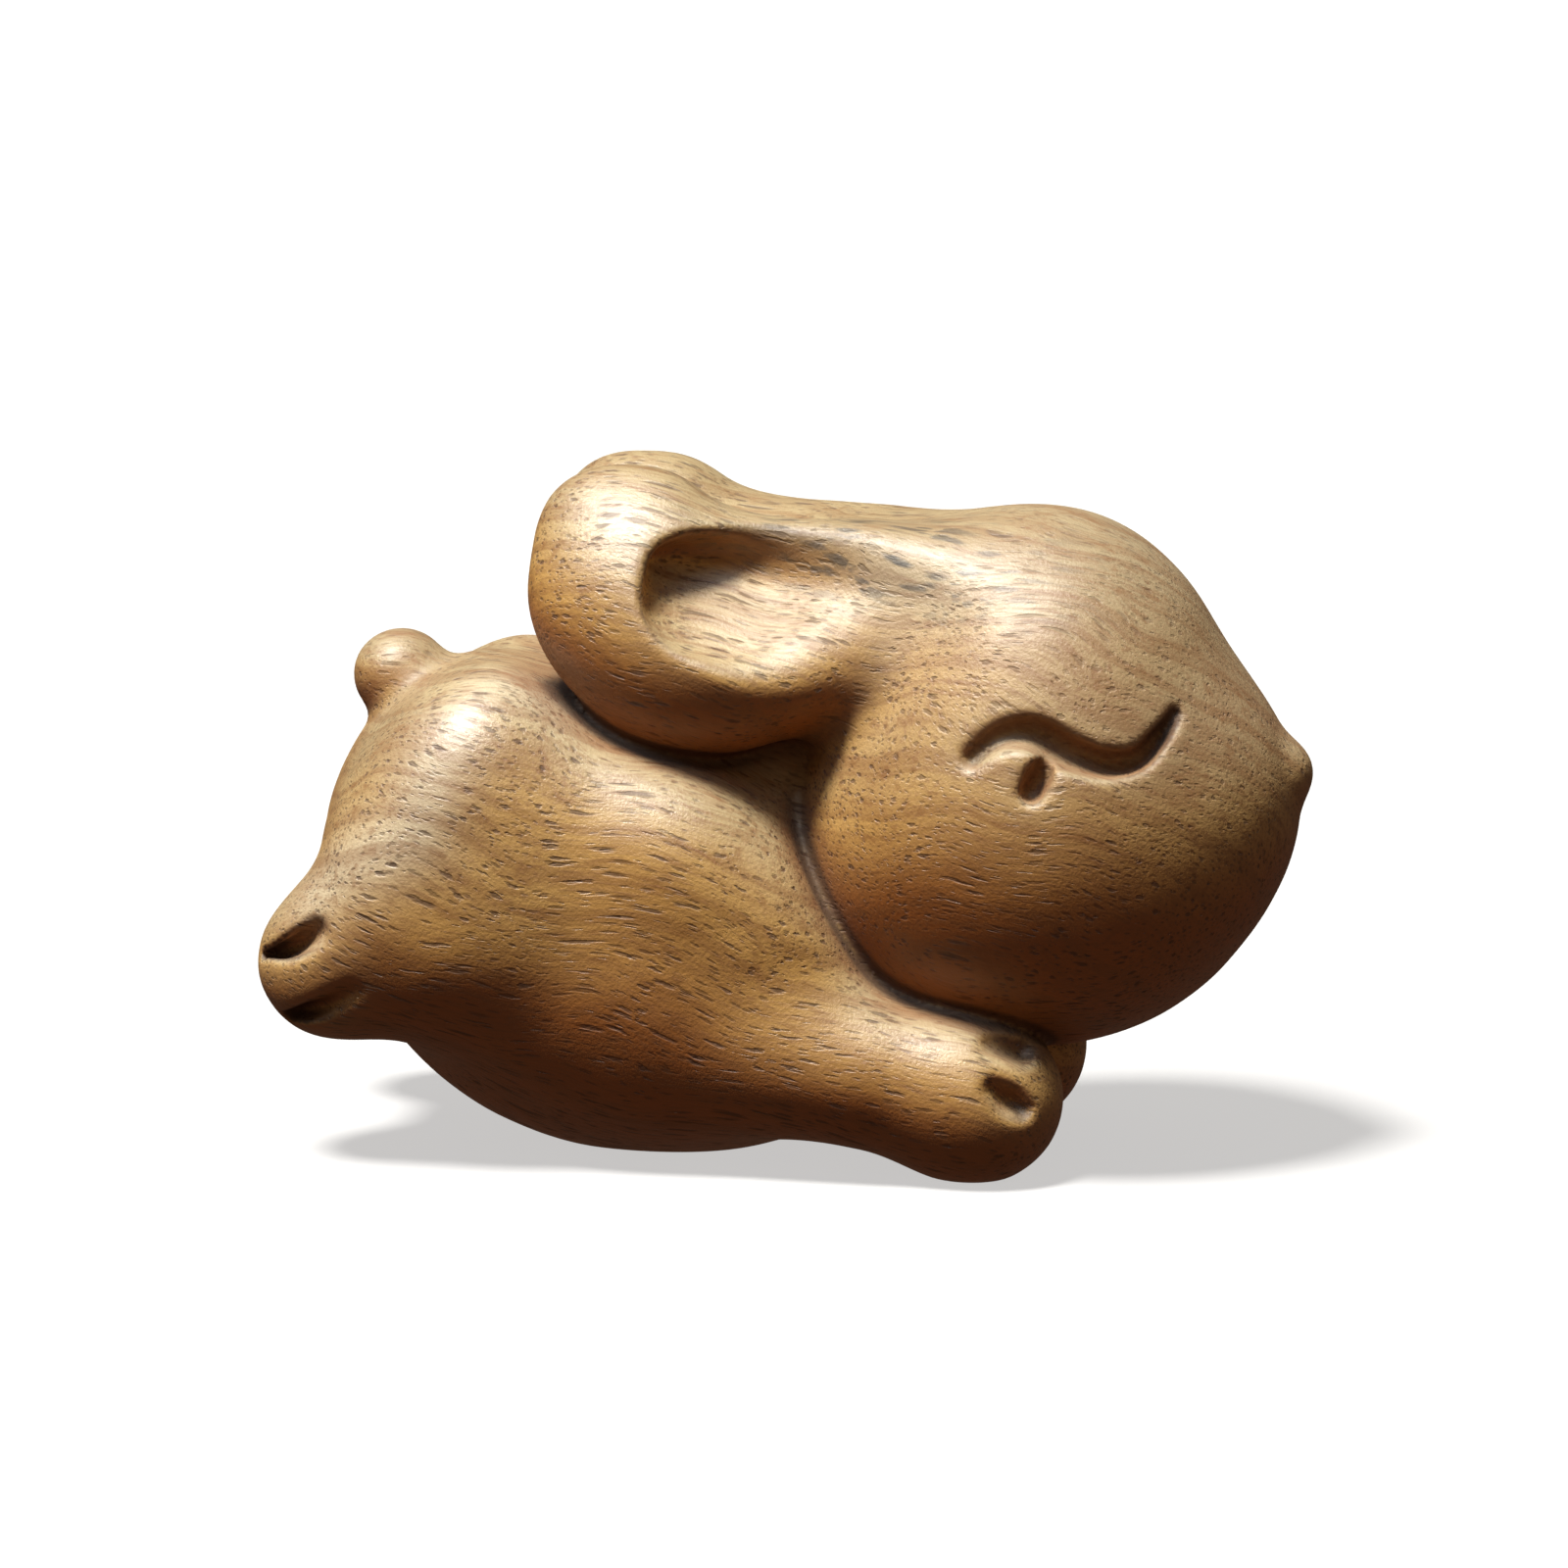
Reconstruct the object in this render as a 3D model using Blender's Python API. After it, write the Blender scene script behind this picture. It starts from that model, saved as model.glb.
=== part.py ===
"""A small hare carved from one block of hardwood, asleep with its chin over its forepaws.

Frame: +X runs from the rump to the nose, -Y is the side whose eye faces the viewer, +Z is up.
The origin is on the ground under the middle of the figure, which stands on three small flats:
one under the belly and one under each forepaw.

The body is thought of as rounded lumps of wood that melt into each other, with the hollows of
the ears, the cleft behind the head and the knife grooves of eyes and toes taken out again.
All proportions are shares of LENGTH, and all lengths in the file are metres.
"""
import math

import bmesh
import bpy
import numpy as np
from mathutils import Matrix, Vector

for old in list(bpy.data.objects):
    bpy.data.objects.remove(old, do_unlink=True)

# driving sizes
LENGTH = 0.056            # nose to hind toes
TRIANGLES = 9200          # facets of the finished solid
ROUGH_STEP = 0.014        # grid step of the first blocking out, share of the length
FINE_STEP = 0.0054        # grid step of the finished carving, share of the length

# Lumps: centre (x, y, z), half lengths (x, y, z), dip of the x axis towards the nose,
# lean of the z axis towards the middle, squareness (2 is an ellipsoid) and, where it is given,
# the turn of the nose end outwards. A lump with y = 0 lies on the middle plane, and one with
# y < 0 has a twin on the far side.
SKULL = ((0.239, 0.0, 0.391), (0.192, 0.202, 0.237), 0, 0, 2)
CHEEK = ((0.230, 0.0, 0.311), (0.236, 0.211, 0.202), 0, 0, 2)
MUZZLE = ((0.368, 0.0, 0.356), (0.101, 0.106, 0.091), 0, 0, 2)
NOSE = ((0.474, 0.0, 0.378), (0.022, 0.028, 0.022), 0, 0, 2)

EAR_TIP = ((-0.153, -0.071, 0.574), (0.086, 0.059, 0.095), 0, 22, 2.5)
EAR_PAD = ((-0.105, -0.090, 0.514), (0.124, 0.080, 0.107), 30, 13, 2)
EAR_LOBE = ((-0.024, -0.098, 0.508), (0.136, 0.078, 0.091), -6, 9, 2)
EAR_ROOT = ((0.082, -0.056, 0.553), (0.172, 0.071, 0.063), 3, 20, 2)
NAPE = ((0.079, 0.0, 0.542), (0.177, 0.061, 0.067), 3, 0, 2)
EAR_RIDGE = ((-0.078, -0.042, 0.575), (0.148, 0.062, 0.043), 14, 14, 2)
EAR_BOWL = ((-0.003, -0.172, 0.551), (0.120, 0.050, 0.070), 3, 39, 2, 12)
EAR_TROUGH = ((0.004, -0.141, 0.574), (0.132, 0.050, 0.036), 5, -5, 2, 13)
EAR_EDGE = (0.014, 0.055)           # how crisp the gouge's rim is behind, and how soft in front

TRUNK = ((-0.203, 0.0, 0.222), (0.238, 0.167, 0.192), 24, 0, 2)
RUMP = ((-0.299, 0.0, 0.292), (0.146, 0.138, 0.182), 0, 0, 2)
BELLY = ((-0.124, 0.0, 0.122), (0.226, 0.152, 0.126), 4, 0, 2)
NECK = ((0.037, 0.0, 0.325), (0.132, 0.086, 0.162), 0, 0, 2)
BACK = ((-0.077, 0.0, 0.447), (0.132, 0.076, 0.071), 25, 0, 2)
TAIL = ((-0.385, 0.0, 0.452), (0.046, 0.051, 0.044), 0, 0, 2)

FLANK = ((-0.169, -0.101, 0.241), (0.263, 0.105, 0.162), 25, 0, 2.6)
SHOULDER = ((-0.102, -0.086, 0.301), (0.081, 0.091, 0.081), 0, 0, 2)
HIP = ((-0.295, -0.112, 0.364), (0.066, 0.084, 0.100), 20, 0, 2)
HAUNCH = ((-0.335, -0.140, 0.330), (0.130, 0.056, 0.052), -60, 0, 2, -15)
THIGH = ((-0.326, -0.127, 0.229), (0.116, 0.089, 0.091), -22, 0, 2)
HIND_FOOT = ((-0.425, -0.132, 0.194), (0.075, 0.073, 0.075), 0, 0, 2)
ARM = ((0.081, -0.116, 0.104), (0.172, 0.086, 0.079), 11, 0, 2)
PAW = ((0.188, -0.121, 0.075), (0.082, 0.079, 0.081), 0, 0, 2)

# Knife grooves: points (x, y, z, half width) along the groove on the near side
EYE = ((0.193, -0.206, 0.417, 0.0090), (0.218, -0.207, 0.437, 0.0125), (0.250, -0.205, 0.441, 0.0160),
       (0.284, -0.198, 0.423, 0.0160), (0.317, -0.186, 0.412, 0.0130), (0.345, -0.169, 0.415, 0.0105),
       (0.362, -0.152, 0.432, 0.0085), (0.377, -0.138, 0.452, 0.0055))
LASH = ((0.268, -0.207, 0.424, 0.0060), (0.257, -0.208, 0.402, 0.0120), (0.250, -0.206, 0.388, 0.0110))
HIND_TOE_UPPER = ((-0.481, -0.155, 0.203, 0.0056), (-0.455, -0.182, 0.217, 0.0095),
                  (-0.431, -0.207, 0.236, 0.0110))
HIND_TOE_LOWER = ((-0.460, -0.162, 0.150, 0.0055), (-0.427, -0.195, 0.160, 0.0090),
                  (-0.394, -0.217, 0.180, 0.0065))
PAW_TOE_UPPER = ((0.210, -0.172, 0.141, 0.0070), (0.238, -0.156, 0.129, 0.0100))
PAW_TOE_LOWER = ((0.216, -0.196, 0.101, 0.0090), (0.229, -0.190, 0.089, 0.0125), (0.240, -0.180, 0.079, 0.0080))

GROOVE_DEPTH = 0.6        # a groove's depth counts for this share of its distance
GROOVE_SPANS = 6          # short straight cuts between two points of a groove

CHIN_CUT = ((0.196, 0.326), (0.162, 0.142), 0.100)   # oval (x, z), half lengths, how near the middle


# the form as a distance field
def axes(dip, lean, turn=0):
    """Rows of a turned frame: x dips towards the nose by `dip`, z leans inwards by `lean`, and the
    nose end of x swings outwards, away from the middle, by `turn` degrees."""
    d, l, t = math.radians(dip), math.radians(lean), math.radians(turn)
    ahead = np.array((math.cos(d), 0, -math.sin(d)))
    up = np.array((math.sin(d), 0, math.cos(d)))
    side = np.array((0, 1, 0))
    x_axis, side = math.cos(t) * ahead - math.sin(t) * side, math.cos(t) * side + math.sin(t) * ahead
    return np.stack((x_axis, math.cos(l) * side - math.sin(l) * up, math.cos(l) * up + math.sin(l) * side))


def lump(p, shape):
    """Distance to a squared ellipsoid, near enough: (k - 1) over the slope of k, where
    k is the n-th root of the sum of |coordinate / half length| to the power n."""
    centre, half, dip, lean, n, turn = (*shape, 0)[:6]
    q = (p - np.array(centre)) @ axes(dip, lean, turn).T
    u = np.abs(q / half) + 1e-6
    if n == 2:
        k = np.sqrt((u * u).sum(1))
        return (k - 1) * k / np.sqrt(((u / half) ** 2).sum(1))
    k = (u ** n).sum(1) ** (1 / n)
    slope = np.sqrt(((u ** (n - 1) / half) ** 2).sum(1)) * k ** (1 - n)
    return (k - 1) / slope


def melt(a, b, blend):
    """Union of two distances whose seam is rounded over `blend`: min - h*h*blend/4, h = 1 - |a-b|/blend."""
    h = np.maximum(blend - np.abs(a - b), 0) / blend
    return np.minimum(a, b) - h * h * blend / 4


def scoop(a, b, blend):
    """What is left of a when b is taken out, with the rim rounded over `blend`."""
    return -melt(-a, b, blend)


def curved(points):
    """The groove's points with more between them, on cubics that pass through each."""
    points = np.array(points)
    ends = np.vstack((points[:1], points, points[-1:]))
    out = []
    for i in range(len(points) - 1):
        p0, p1, p2, p3 = ends[i:i + 4]
        for t in np.arange(GROOVE_SPANS) / GROOVE_SPANS:
            out.append(0.5 * (2 * p1 + (p2 - p0) * t + (2 * p0 - 5 * p1 + 4 * p2 - p3) * t ** 2
                              + (3 * p1 - p0 - 3 * p2 + p3) * t ** 3))
    return np.array(out + [points[-1]])


def groove(p, points):
    """Distance to a bent rod of changing thickness, flattened so that it cuts deeper than wide."""
    flat = np.array((1, GROOVE_DEPTH, 1))
    rod = curved(points)
    centre, width = rod[:, :3] * flat, rod[:, 3]
    q = p * flat
    best = np.full(len(p), 9.0)
    near = ((q > centre.min(0) - 0.04) & (q < centre.max(0) + 0.04)).all(1)
    if near.any():
        q, cut = q[near], best[near]
        for a, b, ra, rb in zip(centre[:-1], centre[1:], width[:-1], width[1:]):
            t = np.clip((q - a) @ (b - a) / ((b - a) @ (b - a)), 0, 1)
            cut = np.minimum(cut, np.linalg.norm(q - a - t[:, None] * (b - a), axis=1) - ra - (rb - ra) * t)
        best[near] = cut
    return best


def hare(p):
    """Distance from each point (shares of the length) to the hare's skin, negative in the wood."""
    m = p * (1, 0, 1) - np.abs(p) * (0, 1, 0)          # everything is folded onto the near side

    head = melt(melt(lump(m, SKULL), lump(m, CHEEK), 0.06), lump(m, MUZZLE), 0.08)
    head = melt(head, lump(m, NOSE), 0.03)
    head = scoop(head, np.minimum(groove(m, EYE), groove(m, LASH)), 0.009)

    ear = melt(melt(lump(m, EAR_TIP), lump(m, EAR_PAD), 0.05), lump(m, EAR_LOBE), 0.05)
    ear = melt(melt(ear, lump(m, EAR_ROOT), 0.05), lump(m, NAPE), 0.03)
    ear = melt(ear, lump(m, EAR_RIDGE), 0.03)
    head = melt(head, ear, 0.05)
    edge = EAR_EDGE[0] + (EAR_EDGE[1] - EAR_EDGE[0]) * np.clip((m[:, 0] + 0.06) / 0.12, 0, 1)
    head = scoop(head, melt(lump(m, EAR_BOWL), lump(m, EAR_TROUGH), 0.03), edge)

    body = melt(melt(lump(m, TRUNK), lump(m, RUMP), 0.08), lump(m, BELLY), 0.08)
    body = melt(melt(body, lump(m, NECK), 0.05), lump(m, BACK), 0.05)
    body = melt(body, melt(lump(m, FLANK), lump(m, SHOULDER), 0.06), 0.06)
    body = melt(body, melt(lump(m, HIP), lump(m, THIGH), 0.08), 0.07)
    body = melt(body, lump(m, HAUNCH), 0.05)
    body = melt(body, lump(m, ARM), 0.05)
    (cx, cz), (rx, rz), inner = CHIN_CUT
    round_edge = lump(m * (1, 0, 1), ((cx, 0, cz), (rx, 1, rz), 0, 0, 2))
    body = scoop(body, -melt(-round_edge, -(m[:, 1] + inner), 0.04), 0.045)
    body = melt(melt(body, lump(m, HIND_FOOT), 0.04), lump(m, PAW), 0.04)
    toes = np.minimum(np.minimum(groove(m, HIND_TOE_UPPER), groove(m, HIND_TOE_LOWER)),
                      np.minimum(groove(m, PAW_TOE_UPPER), groove(m, PAW_TOE_LOWER)))
    body = melt(scoop(body, toes, 0.012), lump(m, TAIL), 0.02)

    return melt(head, body, 0.012)


def slide(points, rounds):
    """Moves points along the field's slope until the field is nought: p - f * slope / |slope|^2."""
    p = points.copy()
    for _ in range(rounds):
        step = 2e-4
        f = hare(p)
        slope = np.stack([(hare(p + d) - hare(p - d)) / (2 * step) for d in np.eye(3) * step], 1)
        size = np.maximum((slope * slope).sum(1), 0.25)
        p -= np.clip(f / size, -0.03, 0.03)[:, None] * slope
    return p


# the solid
def evaluated(obj, kind, **settings):
    """Adds one modifier to obj, makes its result the object's own mesh, and takes it off again."""
    mod = obj.modifiers.new(kind.title(), kind)
    for name, value in settings.items():
        setattr(mod, name, value)
    graph = bpy.context.evaluated_depsgraph_get()
    mesh = bpy.data.meshes.new_from_object(obj.evaluated_get(graph))
    obj.modifiers.remove(mod)
    obj.data = mesh


def slide_mesh(mesh, rounds):
    """Lays all of the mesh's vertices onto the field's skin."""
    flat = np.empty(len(mesh.vertices) * 3, np.float32)
    mesh.vertices.foreach_get("co", flat)
    p = slide(flat.reshape(-1, 3).astype(np.float64) / LENGTH, rounds) * LENGTH
    mesh.vertices.foreach_set("co", p.ravel().astype(np.float32))
    mesh.update()


blank = bmesh.new()
for shape in (SKULL, CHEEK, MUZZLE, NOSE, EAR_TIP, EAR_PAD, EAR_LOBE, EAR_ROOT, NAPE, EAR_RIDGE, TRUNK, RUMP,
              BELLY, NECK, BACK, TAIL, FLANK, SHOULDER, HIP, HAUNCH, THIGH, HIND_FOOT, ARM, PAW):
    centre, half, dip, lean, squareness, swing = (*shape, 0)[:6]
    for side in ((1,) if centre[1] == 0 else (1, -1)):
        turned = Matrix(axes(dip, lean, swing).T.tolist()).to_4x4()
        sized = Matrix.Diagonal((*(Vector(half) * LENGTH), 1))
        place = Matrix.Translation(Vector(centre) * LENGTH) @ turned @ sized
        if side < 0:
            place = Matrix.Diagonal((1, -1, 1, 1)) @ place
        made = bmesh.ops.create_icosphere(blank, subdivisions=3, radius=1, matrix=place)["verts"]
        if side < 0:
            faces = list({f for v in made for f in v.link_faces})
            bmesh.ops.reverse_faces(blank, faces=faces)

mesh = bpy.data.meshes.new("hare")
blank.to_mesh(mesh)
blank.free()
hare_object = bpy.data.objects.new("hare", mesh)
bpy.context.collection.objects.link(hare_object)

# blocking out, then the carving itself
evaluated(hare_object, "REMESH", mode="VOXEL", voxel_size=ROUGH_STEP * LENGTH)
slide_mesh(hare_object.data, 4)
for rounds in (2, 2):
    evaluated(hare_object, "REMESH", mode="VOXEL", voxel_size=FINE_STEP * LENGTH)
    slide_mesh(hare_object.data, rounds)
    evaluated(hare_object, "SMOOTH", factor=0.5, iterations=2)
slide_mesh(hare_object.data, 1)
evaluated(hare_object, "SMOOTH", factor=0.5, iterations=1)
slide_mesh(hare_object.data, 1)

# the three flats that it stands on
work = bmesh.new()
work.from_mesh(hare_object.data)
everything = work.verts[:] + work.edges[:] + work.faces[:]
bmesh.ops.bisect_plane(work, geom=everything, plane_co=(0, 0, 0), plane_no=(0, 0, 1), clear_inner=True)
rims = [e for e in work.edges if e.is_boundary]
bmesh.ops.holes_fill(work, edges=rims, sides=0)
bmesh.ops.triangulate(work, faces=work.faces[:])
work.to_mesh(hare_object.data)
work.free()

# facets of a size to suit the curve, with the flats kept true
evaluated(hare_object, "DECIMATE", ratio=TRIANGLES / len(hare_object.data.polygons))
for vertex in hare_object.data.vertices:
    if abs(vertex.co.z) < 2e-4 * LENGTH:
        vertex.co.z = 0.0

for polygon in hare_object.data.polygons:
    polygon.use_smooth = True

wood = bpy.data.materials.new("carved_wood")
wood.use_nodes = True
shader = wood.node_tree.nodes["Principled BSDF"]
shader.inputs["Base Color"].default_value = (0.38, 0.20, 0.085, 1.0)
shader.inputs["Roughness"].default_value = 0.42
shader.inputs["Metallic"].default_value = 0.0
hare_object.data.materials.clear()
hare_object.data.materials.append(wood)
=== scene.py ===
# %% [markdown]
# # A sleeping hare carved from one block of hardwood
#
# The real thing is as long as a thumb: a hare asleep, chin over its forepaws, ears laid back along
# its shoulders, cut with a knife, scraped smooth and rubbed with oil until the wood shines softly.
# This lesson makes its looks round a solid that is already measured: the imported frame, whose one node
# `hare` gives the size and the place. Nothing here is moved by hand, so the first step is only to load the
# frame.

# %% Load the frame
import math

import bpy
import numpy as np
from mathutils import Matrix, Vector


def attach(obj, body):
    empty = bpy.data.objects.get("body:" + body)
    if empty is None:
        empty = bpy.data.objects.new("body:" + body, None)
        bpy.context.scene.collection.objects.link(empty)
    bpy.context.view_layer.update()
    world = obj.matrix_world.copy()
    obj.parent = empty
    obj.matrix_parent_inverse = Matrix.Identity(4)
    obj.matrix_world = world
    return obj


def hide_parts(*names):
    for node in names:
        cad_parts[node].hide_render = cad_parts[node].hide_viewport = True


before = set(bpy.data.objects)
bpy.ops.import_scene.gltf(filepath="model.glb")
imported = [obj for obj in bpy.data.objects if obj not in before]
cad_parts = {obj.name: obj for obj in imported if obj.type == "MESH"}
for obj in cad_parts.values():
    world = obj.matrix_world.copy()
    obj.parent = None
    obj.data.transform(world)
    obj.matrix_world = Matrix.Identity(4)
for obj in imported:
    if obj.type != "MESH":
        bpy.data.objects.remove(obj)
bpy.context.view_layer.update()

LENGTH = 0.056                      # nose to hind toes, as in the solid

# %% [markdown]
# ## How a carving can be described
#
# A carving has no parts to assemble. Its head runs into its ears and its hip into its foot, and
# what the eye reads as separate lumps are swellings of one skin. It could be sculpted by brush or
# built from a subdivided cage, but then every groove would be pushed by hand. Here the form is a
# field of distances: a function that says for any point how far it is from the skin, below zero
# inside the wood. Lumps of wood are squared ellipsoids, `melt` runs two of them together with a
# rounded seam, and `scoop` takes one out of another, as a gouge does.

# %% Lumps, melting and scooping
def axes(dip, lean, turn):
    """Rows of a turned frame: x dips towards the nose by `dip`, z leans inwards by `lean`, and the
    nose end of x swings outwards, away from the middle, by `turn` degrees."""
    d, l, t = math.radians(dip), math.radians(lean), math.radians(turn)
    ahead = np.array((math.cos(d), 0, -math.sin(d)))
    up = np.array((math.sin(d), 0, math.cos(d)))
    side = np.array((0, 1, 0))
    ahead, side = math.cos(t) * ahead - math.sin(t) * side, math.cos(t) * side + math.sin(t) * ahead
    return np.stack((ahead, math.cos(l) * side - math.sin(l) * up, math.cos(l) * up + math.sin(l) * side))


def lump(p, shape):
    """Distance to a squared ellipsoid: (k - 1) over the slope of k, where k is the n-th root of
    the sum of |coordinate / half length| to the power n, and n is its squareness."""
    centre, half, dip, lean, n, turn = (*shape, 0)[:6]
    half = np.array(half, p.dtype)
    q = (p - np.array(centre, p.dtype)) @ axes(dip, lean, turn).T.astype(p.dtype)
    u = np.abs(q / half) + p.dtype.type(1e-6)
    if n == 2:
        k = np.sqrt((u * u).sum(1))
        return (k - 1) * k / np.sqrt(((u / half) ** 2).sum(1))
    k = (u ** n).sum(1) ** (1 / n)
    return (k - 1) / (np.sqrt(((u ** (n - 1) / half) ** 2).sum(1)) * k ** (1 - n))


def melt(a, b, blend):
    """Union with its seam rounded over `blend`: min(a, b) - h * h * blend / 4, where
    h = 1 - |a - b| / blend."""
    h = np.maximum(blend - np.abs(a - b), 0) / blend
    return np.minimum(a, b) - h * h * blend / 4


def scoop(a, b, blend):
    """What is left of a when b is taken out, the rim rounded over `blend`."""
    return -melt(-a, b, blend)


# %% [markdown]
# ## The head and the ears
#
# On the real carving the head is almost a ball, drawn out to a small button nose. The ears start as
# one ridge along the top of the skull, part at the nape, and end in two thick rounded pads that lie
# on the back. Each ear is gouged out from the side: a wide bowl with a crisp C-shaped rim behind,
# and a deeper trough under the upper edge. All numbers are shares of the hare's length. A lump is
# centre, half lengths, dip, lean, squareness and, where it has one, its turn outwards. One with y
# below zero has a twin on the far side. The seams where lumps melt together come in a few widths,
# from the broad swell of a haunch to the tight line where the knife stopped.

# %% Lumps of the head and the ears
SKULL = ((0.239, 0.0, 0.391), (0.192, 0.202, 0.237), 0, 0, 2)
CHEEK = ((0.230, 0.0, 0.311), (0.236, 0.211, 0.202), 0, 0, 2)
MUZZLE = ((0.368, 0.0, 0.356), (0.101, 0.106, 0.091), 0, 0, 2)
NOSE = ((0.474, 0.0, 0.378), (0.022, 0.028, 0.022), 0, 0, 2)
EAR_TIP = ((-0.153, -0.071, 0.574), (0.086, 0.059, 0.095), 0, 22, 2.5)
EAR_PAD = ((-0.105, -0.090, 0.514), (0.124, 0.080, 0.107), 30, 13, 2)
EAR_LOBE = ((-0.024, -0.098, 0.508), (0.136, 0.078, 0.091), -6, 9, 2)
EAR_ROOT = ((0.082, -0.056, 0.553), (0.172, 0.071, 0.063), 3, 20, 2)
NAPE = ((0.079, 0.0, 0.542), (0.177, 0.061, 0.067), 3, 0, 2)
EAR_RIDGE = ((-0.078, -0.042, 0.575), (0.148, 0.062, 0.043), 14, 14, 2)
EAR_BOWL = ((-0.003, -0.172, 0.551), (0.120, 0.050, 0.070), 3, 39, 2, 12)
EAR_TROUGH = ((0.004, -0.141, 0.574), (0.132, 0.050, 0.036), 5, -5, 2, 13)
EAR_EDGE = (0.014, 0.055)           # how crisp the gouge's rim is behind, and how soft in front
EAR_EDGE_AT = (-0.06, 0.06)         # the places along x between which it goes from one to the other
BROAD, WIDE, MIDDLING, MODEST, NARROW = 0.08, 0.06, 0.05, 0.04, 0.03    # widths of melted seams
EYE_RIM = 0.009                     # rounding of the rims of the eye's groove


def head_field(m):
    """Skull, cheek and muzzle melted, the nose set on, the ears melted on and then gouged out."""
    head = melt(melt(lump(m, SKULL), lump(m, CHEEK), WIDE), lump(m, MUZZLE), BROAD)
    head = melt(head, lump(m, NOSE), NARROW)
    head = scoop(head, np.minimum(groove(m, EYE), groove(m, LASH)), EYE_RIM)
    ear = melt(melt(lump(m, EAR_TIP), lump(m, EAR_PAD), MIDDLING), lump(m, EAR_LOBE), MIDDLING)
    ear = melt(melt(ear, lump(m, EAR_ROOT), MIDDLING), lump(m, NAPE), NARROW)
    ear = melt(ear, lump(m, EAR_RIDGE), NARROW)
    head = melt(head, ear, MIDDLING)
    rear, front = EAR_EDGE_AT
    edge = EAR_EDGE[0] + (EAR_EDGE[1] - EAR_EDGE[0]) * np.clip((m[:, 0] - rear) / (front - rear), 0, 1)
    return scoop(head, melt(lump(m, EAR_BOWL), lump(m, EAR_TROUGH), NARROW), edge)


# %% [markdown]
# ## The knife grooves
#
# The closed eye is one S-shaped groove, cut deep with a small gouge and run out to a point towards
# the nose, with a short oval nick hanging from it. The toes are two nicks on each foot. A groove is
# the distance to a bent rod of changing thickness that follows a smooth curve through a few points,
# with depth counted for less than width so that it cuts deeper than it is wide.

# %% Grooves
EYE = ((0.193, -0.206, 0.417, 0.0090), (0.218, -0.207, 0.437, 0.0125), (0.250, -0.205, 0.441, 0.0160),
       (0.284, -0.198, 0.423, 0.0160), (0.317, -0.186, 0.412, 0.0130), (0.345, -0.169, 0.415, 0.0105),
       (0.362, -0.152, 0.432, 0.0085), (0.377, -0.138, 0.452, 0.0055))
LASH = ((0.268, -0.207, 0.424, 0.0060), (0.257, -0.208, 0.402, 0.0120), (0.250, -0.206, 0.388, 0.0110))
HIND_TOE_UPPER = ((-0.481, -0.155, 0.203, 0.0056), (-0.455, -0.182, 0.217, 0.0095),
                  (-0.431, -0.207, 0.236, 0.0110))
HIND_TOE_LOWER = ((-0.460, -0.162, 0.150, 0.0055), (-0.427, -0.195, 0.160, 0.0090),
                  (-0.394, -0.217, 0.180, 0.0065))
PAW_TOE_UPPER = ((0.210, -0.172, 0.141, 0.0070), (0.238, -0.156, 0.129, 0.0100))
PAW_TOE_LOWER = ((0.216, -0.196, 0.101, 0.0090), (0.229, -0.190, 0.089, 0.0125),
                 (0.240, -0.180, 0.079, 0.0080))
GROOVE_DEPTH = 0.6                  # a groove's depth counts for this share of its distance
GROOVE_REACH = 0.04                 # beyond this distance a groove needs no working out
FAR_OFF = 9                         # stands for any distance past that


def curved(points, spans=8):
    """The groove's points with more between them, on cubics that pass through each point."""
    points = np.array(points)
    ends = np.vstack((points[:1], points, points[-1:]))
    t = (np.arange(spans) / spans)[:, None]
    runs = [0.5 * (2 * p1 + (p2 - p0) * t + (2 * p0 - 5 * p1 + 4 * p2 - p3) * t ** 2
                   + (3 * p1 - p0 - 3 * p2 + p3) * t ** 3)
            for p0, p1, p2, p3 in zip(ends[:-3], ends[1:-2], ends[2:-1], ends[3:])]
    return np.vstack(runs + [points[-1:]])


def groove(p, points):
    """Distance to a bent rod: for each short straight span, the distance to the nearest point
    of the span less the rod's half width there, y counted for less than x and z."""
    flat = np.array((1, GROOVE_DEPTH, 1), p.dtype)
    rod = curved(points).astype(p.dtype)
    centre, width = rod[:, :3] * flat, rod[:, 3]
    q = p * flat
    best = np.full(len(p), FAR_OFF, p.dtype)
    near = ((q > centre.min(0) - GROOVE_REACH) & (q < centre.max(0) + GROOVE_REACH)).all(1)
    if near.any():
        q, cut = q[near], best[near]
        for a, b, ra, rb in zip(centre[:-1], centre[1:], width[:-1], width[1:]):
            t = np.clip((q - a) @ (b - a) / ((b - a) @ (b - a)), 0, 1)
            away = np.sqrt(((q - a - t[:, None] * (b - a)) ** 2).sum(1))
            cut = np.minimum(cut, away - ra - (rb - ra) * t)
        best[near] = cut
    return best


# %% [markdown]
# ## The body
#
# The body is a wedge that rises from the forepaws to the hips. A soft crest runs down from the hip
# to the hind foot, which stays tucked under the rump, and the flank in front of it is nearly flat.
# The head's round contour is cut into the shoulder from the side, which leaves the deep crease
# between head and arm. The hare rests on three small flats, so the field ends at the ground.

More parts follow.
